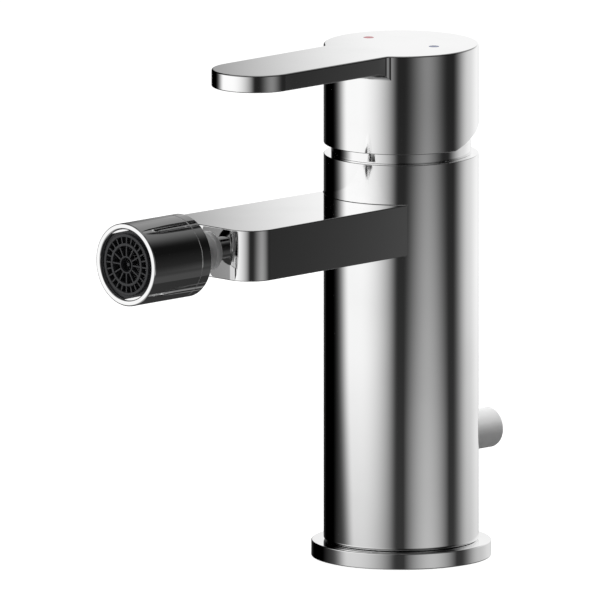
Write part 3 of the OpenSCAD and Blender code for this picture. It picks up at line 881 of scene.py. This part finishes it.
@dataclass
class Lever:
    """The handle: a hub of the body's own diameter and a flat lever, in one casting."""

    radius: float = 23.0
    bottom: float = 124.0
    top: float = 153.6
    lever_bottom: float = 148.45
    root_half: float = 13.243
    tip: float = 12.9
    tip_y: float = -61.2
    root: float = 2.2
    edge: float = 0.5
    under_edge: float = 0.35
    rim_edge: float = 0.25
    inner: float = 21.4
    ceiling: float = 150.4
    boss: float = 8.86
    boss_bottom: float = 138.85
    rear_cut: float = 20.0
    dots: tuple[tuple[float, float], ...] = ((-14.0, 0.4), (10.5, 3.2))
    dot_radius: float = 1.55
    dot_depth: float = 0.8
    side_points: int = 14
    root_steps: int = 6

    def build(self) -> None:
        """Builds the handle."""
        plan = self._plan().points
        skin = Skin()
        rows = [[Skin.edge_knot(p, self.top, -1, row) for p in plan] for row in edge_rows(self.edge)]
        rings = [circle(x, y, self.dot_radius) for x, y in self.dots]
        skin.flat([[place for place, _ in rows[0]], *(Skin.level(ring, self.top) for ring in rings)], UP)
        for ring in rings:
            floor = self.top - self.dot_depth
            skin.bore(ring, floor, self.top)
            skin.flat([Skin.level(ring, floor)], UP)
        rows += [list(row) for row in zip(*(self._below(point) for point in plan))]
        skin.sheet(rows)
        fit(skin.build("handle_chrome"), "lever", "chrome", "handle")

    def _plan(self) -> Outline:
        """Returns the outline of hub and lever, seen from above."""
        x = self.root_half + self.root
        y = -math.sqrt((self.radius + self.root) ** 2 - x ** 2)
        touch = math.degrees(math.atan2(y, x))
        plan = Outline().arc((0, 0), self.radius, touch, 180 - touch, step=2)
        plan.arc((-x, y), self.root, -touch, 0, hollow=True)
        plan.straight((-self.root_half, y), (-self.tip, self.tip_y), self.side_points)
        plan.arc((0, self.tip_y), self.tip, 180, 360, step=3)
        plan.straight((self.tip, self.tip_y), (self.root_half, y), self.side_points)
        return plan.arc((x, y), self.root, 180, 180 + touch, hollow=True)

    def _below(self, point: EdgePoint) -> list[Knot]:
        """Lists the corners that lead from a point of the outline to the hub's axis.

        Args:
            point: A point of the plan's outline.

        Returns:
            The corners down the side, under the lever, round its root and through the hub.
        """
        reach = self.radius + self.root
        away = (math.hypot(point.x, point.y) - self.radius) / self.root
        edge = self.under_edge * min(1.0, max(0.0, away))
        foot = Vector(point.inset(edge))
        out = foot.normalized().to_3d()
        start = math.asin(min(1.0, max(0.0, (reach - foot.length) / self.root)))

        def height(turn: float) -> float:
            """Returns the height at a turn through the root's round."""
            return self.lever_bottom - self.root * (1 - math.cos(turn))

        def under(turn: float) -> Vector:
            """Returns the normal at a turn through the root's round."""
            return out * math.sin(turn) - UP * math.cos(turn)

        side = Vector((point.nx, point.ny, 0.0))
        knots = []
        for inset, depth, flat, upright in reversed(edge_rows(edge)):
            knots.append((Vector((*point.inset(inset), height(start) + depth)),
                          (side * flat + under(start) * upright).normalized()))
        knots.append((out * min(foot.length, reach) + UP * height(start), under(start)))
        for i in range(1, self.root_steps + 1):
            turn = start + (math.pi / 2 - start) * i / self.root_steps
            knots.append((out * (reach - self.root * math.sin(turn)) + UP * height(turn), under(turn)))
        return knots + self._hub(out)

    def _hub(self, out: Vector) -> list[Knot]:
        """Lists the corners round the hub's rim and inside it, along one direction from the axis."""
        cut = math.radians(self.rear_cut)
        rim_normal = Vector((0.0, math.sin(cut), -math.cos(cut))) if out.y > 0 else -UP

        def rim(radius: float) -> float:
            """Returns the rim's height, which rises behind the axis."""
            return self.bottom + max(0.0, out.y * radius) * math.tan(cut)

        knots = []
        for inset, depth, flat, upright in reversed(edge_rows(self.rim_edge)):
            radius = self.radius - inset
            knots.append((out * radius + UP * (rim(radius) + depth),
                          (out * flat + rim_normal * upright).normalized()))
        steps = [(self.inner, rim(self.inner), rim_normal), (self.inner, rim(self.inner), -out),
                 (self.inner, self.ceiling, -out), (self.inner, self.ceiling, -UP),
                 (self.boss, self.ceiling, -UP), (self.boss, self.ceiling, out),
                 (self.boss, self.boss_bottom, out), (self.boss, self.boss_bottom, -UP),
                 (0.0, self.boss_bottom, -UP)]
        return knots + [(out * radius + UP * height, normal) for radius, height, normal in steps]


@dataclass
class HubPlug:
    """The plug over the set screw, a low button in the rear of the hub."""

    hub: float = 23.0
    inner: float = 21.4
    height: float = 144.3
    radius: float = 2.975
    crown: float = 0.16
    rings: int = 6
    steps: int = 48

    def build(self) -> None:
        """Builds the button, which follows the hub's round."""
        skin = Skin()
        rows = [[self._knot(self.radius * i / self.rings, math.tau * k / self.steps)
                 for k in range(self.steps)] for i in range(self.rings + 1)]
        skin.sheet(rows)
        ways = [Vector((math.cos(math.tau * k / self.steps), 0.0, math.sin(math.tau * k / self.steps)))
                for k in range(self.steps)]
        front = [(place, way) for (place, _), way in zip(rows[-1], ways)]
        rear = [(Vector((place.x, self.inner, place.z)), way) for place, way in front]
        skin.sheet([front, rear])
        skin.flat([[place for place, _ in rear]], Vector((0.0, -1.0, 0.0)))
        fit(skin.build("screw_plug_button"), "lever", "grey_plastic", "screw_plug")

    def _knot(self, radius: float, angle: float) -> Knot:
        """Returns a corner of the button's face."""
        x, z = radius * math.cos(angle), radius * math.sin(angle)
        share = radius / self.radius
        y = math.sqrt(self.hub ** 2 - x * x) + self.crown * (1 - share ** 4)
        slope = 4 * self.crown * share ** 3 / self.radius
        normal = Vector((x / self.hub + slope * math.cos(angle), 1.0, slope * math.sin(angle)))
        return Vector((x, y, self.height + z)), normal.normalized()


@dataclass
class BallJoint:
    """The ball on its stem, in front of the spout, and the ring that holds it."""

    centre: tuple[float, float, float] = (0.0, -95.2, 101.35)
    spout_face: float = -13.6
    ball: float = 6.5
    ball_flat: float = 0.5
    bore: float = 2.2
    neck: float = 3.55
    collar: float = 5.9
    collar_height: float = 1.1
    collar_edge: float = 0.3
    ring: float = 12.4
    ring_rear: float = -3.5
    ring_front: float = 0.2
    ring_edge: float = 0.15
    seam_edge: float = 0.2
    socket: float = 6.55
    spigot: float = 8.9
    spigot_inner: float = 7.8
    spigot_front: float = 4.3
    spigot_edge: float = 0.1
    shelf: float = 0.4
    stem_steps: int = 160
    ring_steps: int = 192

    def build(self) -> None:
        """Builds stem and ring."""
        self._stem()
        self._ring()

    def _stem(self) -> None:
        """Builds the collar, the neck and the ball."""
        face = self.spout_face + self.collar_height
        flat = self.ball - self.ball_flat
        line = Outline().corners([
            (self.bore, self.spout_face, 0), (self.collar, self.spout_face, 0),
            (self.collar, face, self.collar_edge), (self.neck, face, 0),
            (self.neck, -math.sqrt(self.ball ** 2 - self.neck ** 2), 0)], closed=False)
        line.arc((0, 0), self.ball, -math.degrees(math.acos(self.neck / self.ball)),
                 math.degrees(math.asin(flat / self.ball)), step=3)
        line.corners([(math.sqrt(self.ball ** 2 - flat ** 2), flat, 0), (self.bore, flat, 0),
                      (self.bore, self.spout_face, 0)], closed=False)
        skin = Skin()
        skin.lathe(line, self.stem_steps)
        piece = skin.build("ball_stem_chrome", Facing.FRONT, self.centre)
        for finish in (CHROME, SATIN):
            piece.data.materials.append(finish.material())
        collar_front = (self.centre[1] - face) * MM
        for polygon in piece.data.polygons:
            polygon.material_index = int(polygon.center.y > collar_front - TOUCH)
        fit(piece, "mixer", "chrome", "ball_stem")

    def _ring(self) -> None:
        """Builds the ring round the ball."""

        def slope(height: float) -> float:
            """Returns the angle at which the socket reaches a height."""
            return math.degrees(math.asin(height / self.socket))

        opening = math.sqrt(self.socket ** 2 - self.ring_rear ** 2)
        shelf_radius = math.sqrt(self.socket ** 2 - self.shelf ** 2)
        line = Outline().corners([
            (opening, self.ring_rear, 0), (self.ring, self.ring_rear, self.ring_edge),
            (self.ring, self.ring_front, self.seam_edge), (self.spigot, self.ring_front, 0),
            (self.spigot, self.spigot_front, self.spigot_edge),
            (self.spigot_inner, self.spigot_front, self.spigot_edge),
            (self.spigot_inner, self.shelf, 0), (shelf_radius, self.shelf, 0)], closed=False)
        line.arc((0, 0), self.socket, slope(self.shelf), slope(self.ring_rear), hollow=True)
        skin = Skin()
        skin.lathe(line, self.ring_steps)
        fit(skin.build("ball_ring_chrome", Facing.FRONT, self.centre), "nozzle", "chrome", "ball_ring")


@dataclass
class Mouth:
    """The nozzle's cup and the dark grille in it."""

    centre: tuple[float, float, float] = (0.0, -95.2, 101.35)
    radius: float = 12.4
    rear: float = 0.2
    front: float = 20.3
    lip: float = 10.6
    lip_edge: float = 0.45
    lip_inner_edge: float = 0.55
    seam_edge: float = 0.2
    throat: float = 9.1
    throat_radius: float = 3.4
    pocket: float = 7.1
    socket: float = 8.95
    socket_depth: float = 4.6
    insert: float = 10.5
    insert_inner: float = 9.1
    insert_rear: float = 10.9
    insert_front: float = 20.0
    collar_sunk: float = 1.1
    collar_edge: float = 0.08
    grille_rear: float = 18.2
    land_away: float = 9.97
    land_turn: float = 15.0
    land_z: tuple[float, float] = (18.5, 19.7)
    land_edge: float = 0.05
    rings: tuple[tuple[float, float], ...] = ((8.3, 9.25), (5.6, 6.5), (2.1, 2.7))
    ring_edge: float = 0.2
    rows: tuple[tuple[int, float, float], ...] = ((24, 6.5, 8.3), (12, 2.7, 5.6))
    spoke_width: float = 0.4
    spoke_depth: float = 1.1
    spoke_sunk: float = 0.15
    spoke_overlap: float = 0.2
    nub: float = 0.65
    nub_sunk: float = 0.9
    cup_steps: int = 224
    ring_steps: int = 96
    nub_steps: int = 32

    def build(self) -> None:
        """Builds cup and grille."""
        self._cup()
        self._grille()

    def _cup(self) -> None:
        """Builds the cup, with two thin lands inside its lip that hold the insert."""
        skin = Skin()
        skin.lathe(Outline().corners([
            (self.socket, self.rear, 0), (self.radius, self.rear, self.seam_edge),
            (self.radius, self.front, self.lip_edge), (self.lip, self.front, self.lip_inner_edge),
            (self.lip, self.throat, 0), (self.throat_radius, self.throat, 0),
            (self.throat_radius, self.pocket, 0), (self.pocket, self.socket_depth, 0),
            (self.socket, self.socket_depth, 0)]), self.cup_steps)
        half = math.degrees(math.acos(self.land_away / self.lip))
        for across in (90 + self.land_turn, 270 + self.land_turn):
            plan = Outline().arc((0, 0), self.lip, across - half, across + half, step=2)
            skin.prism(plan, *self.land_z, [self.land_edge] * len(plan.points))
        piece = skin.build("nozzle_shell_chrome", Facing.FRONT, self.centre)
        fit(piece, "nozzle", "chrome", "nozzle_shell")

    def _grille(self) -> None:
        """Builds the insert: collar and rings from sections, its rows of spokes by Geometry Nodes."""
        skin = Skin()
        collar_front = self.insert_front - self.collar_sunk
        skin.lathe(Outline().corners([
            (self.insert_inner, self.insert_rear, 0), (self.insert, self.insert_rear, 0),
            (self.insert, collar_front, self.collar_edge), (self.insert_inner, collar_front, 0)]),
            self.ring_steps)
        for inner, outer in self.rings:
            skin.lathe(Outline().corners([
                (inner, self.grille_rear, 0), (outer, self.grille_rear, 0),
                (outer, self.insert_front, self.ring_edge),
                (inner, self.insert_front, self.ring_edge)]), self.ring_steps)
        nub_front = self.insert_front - self.nub_sunk
        skin.lathe(Outline().corners([
            (0, self.insert_rear, 0), (self.nub / 2, self.insert_rear, 0),
            (self.nub, nub_front, self.ring_edge), (0, nub_front, 0)], closed=False),
            self.nub_steps, closed=False)
        piece = skin.build("aerator_grille")
        self._add_spokes(piece)
        piece.data.transform(Facing.FRONT.place(Vector(self.centre) * MM))
        fit(piece, "nozzle", "dark_plastic", "aerator_insert")

    def _add_spokes(self, piece: bpy.types.Object) -> None:
        """Runs the spokes' tree on the insert and keeps its result as a plain mesh."""
        tree = bpy.data.node_groups.new("grille_spokes", "GeometryNodeTree")
        graph = Graph(tree)

        def entry(name: str, kind: str) -> str:
            """Adds a named input and returns its identifier."""
            return tree.interface.new_socket(name=name, in_out="INPUT", socket_type=kind).identifier

        tree.interface.new_socket(name="Insert", in_out="OUTPUT", socket_type="NodeSocketGeometry")
        source = entry("Insert", "NodeSocketGeometry")
        finish = entry("Finish", "NodeSocketMaterial")
        width, depth = entry("Spoke width", "NodeSocketFloat"), entry("Spoke depth", "NodeSocketFloat")
        values: dict[str, Any] = {finish: FINISHES["dark_plastic"].material(),
                                  width: self.spoke_width * MM, depth: self.spoke_depth * MM}
        parts = [graph.node("NodeGroupInput", output=source)]
        for number, (count, inner, outer) in enumerate(self.rows):
            keys = [entry(f"{word} {number}", kind) for word, kind in (
                ("Count", "NodeSocketInt"), ("Inner", "NodeSocketFloat"), ("Outer", "NodeSocketFloat"))]
            values |= dict(zip(keys, (count, inner * MM, outer * MM)))
            sizes = [graph.node("NodeGroupInput", output=key) for key in (*keys, width, depth)]
            parts.append(self._spoke_row(graph, *sizes))
        joined = graph.node("GeometryNodeJoinGeometry")
        for part in reversed(parts):
            tree.links.new(part.socket, joined.socket.node.inputs[0])
        real = graph.node("GeometryNodeRealizeInstances", inputs={"Geometry": joined})
        dressed = graph.node("GeometryNodeSetMaterial", inputs={
            "Geometry": real, "Material": graph.node("NodeGroupInput", output=finish)})
        graph.node("NodeGroupOutput", inputs={"Insert": dressed})
        modifier = piece.modifiers.new("spokes", "NODES")
        modifier.node_group = tree
        for key, value in values.items():
            modifier[key] = value
        shaped = piece.evaluated_get(bpy.context.evaluated_depsgraph_get())
        mesh = bpy.data.meshes.new_from_object(shaped)
        piece.modifiers.remove(modifier)
        piece.data = mesh

    def _spoke_row(self, graph: Graph, count: Value, inner: Value, outer: Value, width: Value,
                   depth: Value) -> Value:
        """Adds one row of spokes.

        Args:
            graph: The tree under construction.
            count: The spokes in the row.
            inner: The radius that they start from.
            outer: The radius that they reach.
            width: A spoke's width.
            depth: A spoke's depth.

        Returns:
            The row's instances.
        """
        spots = graph.node("GeometryNodeMeshCircle", inputs={
            "Vertices": count, "Radius": (inner + outer) * 0.5})
        length = outer - inner + 2 * self.spoke_overlap * MM
        size = graph.node("ShaderNodeCombineXYZ", inputs={"X": length, "Y": width, "Z": depth})
        bar = graph.node("GeometryNodeMeshCube", inputs={"Size": size}, output="Mesh")
        front = (self.insert_front - self.spoke_sunk) * MM
        sunk = graph.node("ShaderNodeCombineXYZ", inputs={"Z": depth * -0.5 + front})
        bar = graph.node("GeometryNodeTransform", inputs={"Geometry": bar, "Translation": sunk})
        angle = graph.node("GeometryNodeInputIndex") * graph.math("DIVIDE", math.tau, count)
        turn = graph.node("FunctionNodeEulerToRotation", inputs={
            "Euler": graph.node("ShaderNodeCombineXYZ", inputs={"Z": angle})})
        return graph.node("GeometryNodeInstanceOnPoints", inputs={
            "Points": spots, "Instance": bar, "Rotation": turn})


@dataclass
class WasteKnob:
    """The knob behind the body that lifts the waste's rod."""

    height: float = 33.9
    tip: float = 11.05
    tip_radius: float = 2.0
    stem: float = 3.0
    stem_start: float = 17.5
    start: float = 23.4
    end: float = 37.4
    radius: float = 6.05
    edge: float = 1.2
    shoulder: float = 0.4
    tip_edge: float = 0.2
    steps: int = 128

    def build(self) -> None:
        """Builds the knob."""
        skin = Skin()
        skin.lathe(Outline().corners([
            (0, self.tip, 0), (self.tip_radius, self.tip, self.tip_edge),
            (self.tip_radius, self.stem_start, 0), (self.stem, self.stem_start, self.tip_edge),
            (self.stem, self.start, 0),
            (self.radius, self.start, self.shoulder), (self.radius, self.end, self.edge),
            (0, self.end, 0)], closed=False), self.steps, closed=False)
        piece = skin.build("lift_knob_chrome", Facing.REAR, (0, 0, self.height))
        piece.data.materials.append(SATIN.material())
        fit(piece, "lift", "chrome", "lift_knob")


@dataclass(frozen=True)
class Lamp:
    """A soft lamp that looks at the object, and that polished metal doesn't show."""

    name: str
    place: tuple[float, float, float]
    size: float
    power: float
    aim: tuple[float, float, float] = (0.0, -0.03, 0.08)

    def hang(self, scene: bpy.types.Scene) -> None:
        """Hangs the lamp in a scene."""
        data = bpy.data.lights.new(self.name, "AREA")
        data.size = self.size
        data.energy = self.power
        lamp = bpy.data.objects.new(self.name, data)
        back = Vector(self.place) - Vector(self.aim)
        turn = back.to_track_quat("Z", "Y").to_matrix().to_4x4()
        lamp.matrix_world = Matrix.Translation(Vector(self.place)) @ turn
        lamp.visible_glossy = False
        scene.collection.objects.link(lamp)


@dataclass
class Studio:
    """The pale floor, the soft boxes round the object, the lamps and the camera."""

    drum_radius: float = 600.0
    drum_bottom: float = -400.0
    drum_top: float = 1000.0
    drum_steps: int = 128
    mirror_share: float = 0.86
    camera_turn: float = 45.0
    view_scale: float = 0.1776
    target: tuple[float, float, float] = (-0.02118, -0.02118, 0.07645)
    back: tuple[float, float, float] = (0.6964, -0.6964, 0.17365)
    distance: float = 1.2
    clip: tuple[float, float] = (0.01, 10.0)
    floor_half: float = 1.6
    floor_height: float = -0.0002
    floor_tones: tuple[float, float] = (0.29, 0.31)
    floor_glow: float = 0.93
    ambient: float = 0.17
    lamps: tuple[Lamp, ...] = (
        Lamp("key_lamp", (-0.45, -0.55, 0.55), 0.35, 1.5),
        Lamp("rear_lamp", (0.45, 0.5, 0.5), 0.35, 0.4),
        Lamp("top_lamp", (0.0, 0.24, 0.86), 0.4, 9.4))

    def build(self) -> None:
        """Builds the whole studio."""
        scene = bpy.context.scene
        scene.view_settings.view_transform = "Standard"
        self._camera(scene)
        self._world(scene)
        self._floor(scene)
        self._drum()
        for lamp in self.lamps:
            lamp.hang(scene)

    def _camera(self, scene: bpy.types.Scene) -> None:
        """Sets the camera at the photograph's viewing angle."""
        data = bpy.data.cameras.new("camera")
        data.type = "ORTHO"
        data.ortho_scale = self.view_scale
        data.clip_start, data.clip_end = self.clip
        camera = bpy.data.objects.new("camera", data)
        back = Vector(self.back).normalized()
        turn = back.to_track_quat("Z", "Y").to_matrix().to_4x4()
        camera.matrix_world = Matrix.Translation(Vector(self.target) + back * self.distance) @ turn
        scene.collection.objects.link(camera)
        scene.camera = camera

    @staticmethod
    def _seen(graph: Graph, *kinds: str) -> Value:
        """Returns 1 for rays of the given kinds."""
        total = graph.node("ShaderNodeLightPath", output=kinds[0])
        for kind in kinds[1:]:
            total = graph.math("MAXIMUM", total, graph.node("ShaderNodeLightPath", output=kind))
        return total

    def _world(self, scene: bpy.types.Scene) -> None:
        """Makes the world white to look at, and a plain ambient light for the rest."""
        world = bpy.data.worlds.new("white_room")
        world.use_nodes = True
        scene.world = world
        graph = Graph(world.node_tree)
        seen = self._seen(graph, "Is Camera Ray", "Is Glossy Ray", "Is Transmission Ray")
        light = graph.node("ShaderNodeBackground", inputs={
            "Color": (1.0, 1.0, 1.0, 1.0), "Strength": seen * (1.0 - self.ambient) + self.ambient})
        graph.node("ShaderNodeOutputWorld", inputs={"Surface": light})

    def _floor(self, scene: bpy.types.Scene) -> None:
        """Lays the pale floor, which keeps a faint shadow under the base."""
        half = self.floor_half
        mesh = bpy.data.meshes.new("floor")
        corners = [(-half, -half), (half, -half), (half, half), (-half, half)]
        mesh.from_pydata([(x, y, self.floor_height) for x, y in corners], [], [(0, 1, 2, 3)])
        floor = bpy.data.objects.new("floor", mesh)
        scene.collection.objects.link(floor)
        material = bpy.data.materials.new("pale_floor")
        material.use_nodes = True
        graph = Graph(material.node_tree)
        tone = graph.noise(graph.place(), 9.0)
        dark, light = ((level, level, level) for level in self.floor_tones)
        shade = graph.node("ShaderNodeBsdfDiffuse", inputs={"Color": graph.blend(tone, dark, light)})
        bright = self._seen(graph, "Is Camera Ray") * self.floor_glow
        glow = graph.node("ShaderNodeEmission", inputs={
            "Color": (1.0, 1.0, 1.0, 1.0), "Strength": bright})
        both = graph.node("ShaderNodeAddShader")
        for value, socket in zip((shade, glow), both.socket.node.inputs):
            graph.tree.links.new(value.socket, socket)
        graph.node("ShaderNodeOutputMaterial", inputs={"Surface": both})
        mesh.materials.append(material)
        floor.visible_glossy = False

    def _drum(self) -> None:
        """Stands a drum of soft boxes round the object, which only polished metal shows."""
        skin = Skin()
        low, high = self.drum_bottom, self.drum_top
        line = Outline().corners([(0, high, 0), (self.drum_radius, high, 0), (self.drum_radius, low, 0),
                                  (0, low, 0)], closed=False)
        skin.lathe(line, self.drum_steps, closed=False)
        drum = skin.build("softbox_drum")
        material = bpy.data.materials.new("softbox_drum")
        material.use_nodes = True
        material.cycles.emission_sampling = "NONE"
        graph = Graph(material.node_tree)
        glow = graph.node("ShaderNodeEmission", inputs={
            "Color": (1.0, 1.0, 1.0, 1.0), "Strength": self._boxes(graph) * (1.0 / self.mirror_share)})
        graph.node("ShaderNodeOutputMaterial", inputs={"Surface": glow})
        drum.data.materials.append(material)
        drum.visible_camera = drum.visible_diffuse = drum.visible_shadow = False
        drum.visible_transmission = drum.visible_volume_scatter = False

    def _boxes(self, graph: Graph) -> Value:
        """Returns the brightness of the drum's inside.

        The boxes are drawn by the turn about the upright axis, in degrees from the camera's side,
        and by the height, in metres.

        Args:
            graph: The drum's node tree.

        Returns:
            Key, rear box, fill and dim room on the wall, with the ground and the ceiling.
        """
        place = graph.node("ShaderNodeSeparateXYZ", inputs={"Vector": graph.place()}, output="X")
        axes = place.socket.node.outputs
        x, y, z = (Value(graph, axes[name]) for name in ("X", "Y", "Z"))
        turn = graph.math("ARCTAN2", y, x) * math.degrees(1.0) + self.camera_turn
        away = graph.math("SQRT", x * x + y * y, 0.0)
        radius, bottom, top = (size * MM for size in (self.drum_radius, self.drum_bottom, self.drum_top))
        wall = away.smooth(0.985 * radius, 0.99 * radius)
        on_ground = z.smooth(bottom + 0.005, bottom + 0.02, 1.0, 0.0)
        fading = z.linear(0.26, 0.40, 0.75, 0.1) + z.linear(0.40, 0.80, 0.25, 0.12)
        key = self._key(graph, turn, z) * graph.math("MAXIMUM", wall, on_ground)
        others = (self._rear(turn, z) + self._fill(graph, turn, z)) * z.smooth(-0.19, -0.105)
        ground = z.smooth(-0.26, -0.14, 0.03, 0.0)
        ceiling = away.smooth(0.16, 0.26, 0.30, 0.02) + away.smooth(0.36, 0.5, 0.0, 0.12)
        ceiling = ceiling * z.smooth(top - 0.10, top - 0.05) * (1.0 - wall)
        return key * fading + (others * fading + self._room(turn, z)) * wall + ground + ceiling

    @staticmethod
    def _key(graph: Graph, turn: Value, z: Value) -> Value:
        """Returns the key, a wide box on the left that starts later and is dimmer low down."""
        start = z.linear(-0.104, -0.05, -115.8, -125.6) + z.linear(-0.05, 0.036, 0.0, -6.1)
        rise = graph.math("POWER", ((turn - start) * (1 / 46)).smooth(0.0, 1.0), 3.6)
        fall = ((turn + 64.0) * z.linear(-0.1, 0.03, 1 / 55.0, 1 / 57.3)).linear(0.0, 2.0, 0.0, 2.0)
        fall = graph.node("ShaderNodeMath", {"operation": "SMOOTH_MAX"}, {
            "Value": 1.0 - fall * fall, "Value_001": 0.0, "Value_002": 0.2})
        level = z.linear(-0.104, -0.04, 0.625, 0.945) + z.linear(-0.04, 0.01, 0.0, 0.055)
        lit = graph.math("MINIMUM", rise * fall * level, 1.0) * z.linear(0.04, 0.1, 0.923, 1.05)
        return lit * z.smooth(-0.40, -0.12, 0.4, 1.0)

    @staticmethod
    def _rear(turn: Value, z: Value) -> Value:
        """Returns the rear box, with a soft start, a sharp end and a faint glint beyond it."""
        lean = turn - z.linear(0.0, 0.5, 0.0, 8.5)
        edge = turn + z.linear(0.215, 0.26, 0.0, 1.2)
        lit = lean.smooth(81.0, 118.0) * 0.62 + lean.smooth(110.0, 150.0) * 0.25
        lit = lit * z.linear(-0.095, -0.02, 0.775, 1.0)
        lit = lit * (1.0 - turn.smooth(152.0, 168.0) * z.smooth(0.06, 0.14, 0.13, 0.0))
        lit = lit * (edge.smooth(181.3, 190.0, 0.93, 0.0) + edge.smooth(188.0, 208.0, 0.07, 0.0))
        glint = turn.smooth(192.0, 216.0, 1.0, 0.0) * turn.smooth(185.0, 192.0)
        return lit + glint * z.linear(-0.1, 0.035, 0.012, 0.05) * z.smooth(0.05, 0.15, 1.0, 0.0)

    @staticmethod
    def _fill(graph: Graph, turn: Value, z: Value) -> Value:
        """Returns the fill, a narrow soft box on the right of the camera, brighter low down."""
        lit = turn.smooth(3.0, 39.0) * turn.smooth(39.0, 75.0, 1.0, 0.0)
        lit = graph.math("POWER", lit, z.linear(-0.06, 0.04, 0.58, 1.2))
        return lit * z.linear(-0.095, 0.036, 0.445, 0.205)

    @staticmethod
    def _room(turn: Value, z: Value) -> Value:
        """Returns the dim room in front of the object."""
        lit = turn.smooth(-121.0, -98.0) * turn.smooth(100.0, 130.0, 1.0, 0.0)
        return lit * (z.linear(-0.095, 0.036, 0.0164, 0.0) + z.linear(0.05, 0.33, 0.0176, 0.006))


def dress_nodes() -> None:
    """Gives every construction node the finish of its slot in the record."""
    for part in frame["record"]["subparts"]:
        node = frame["nodes"][part["node"]]
        node.data.materials.clear()
        node.data.materials.append(FINISHES[part["material_slot"]].material())
        LOG.info("%s wears %s", part["node"], part["material_slot"])


def main() -> None:
    """Gives the nodes their finishes, then builds the studio and every piece."""
    logging.basicConfig(level=logging.INFO, format="%(name)s: %(message)s")
    dress_nodes()
    parts = (Foot(), Column(), Bar(), Dome(), Lever(), HubPlug(), BallJoint(), Mouth(), WasteKnob())
    for assembly in (*parts, Studio()):
        assembly.build()


if __name__ == "__main__":
    main()
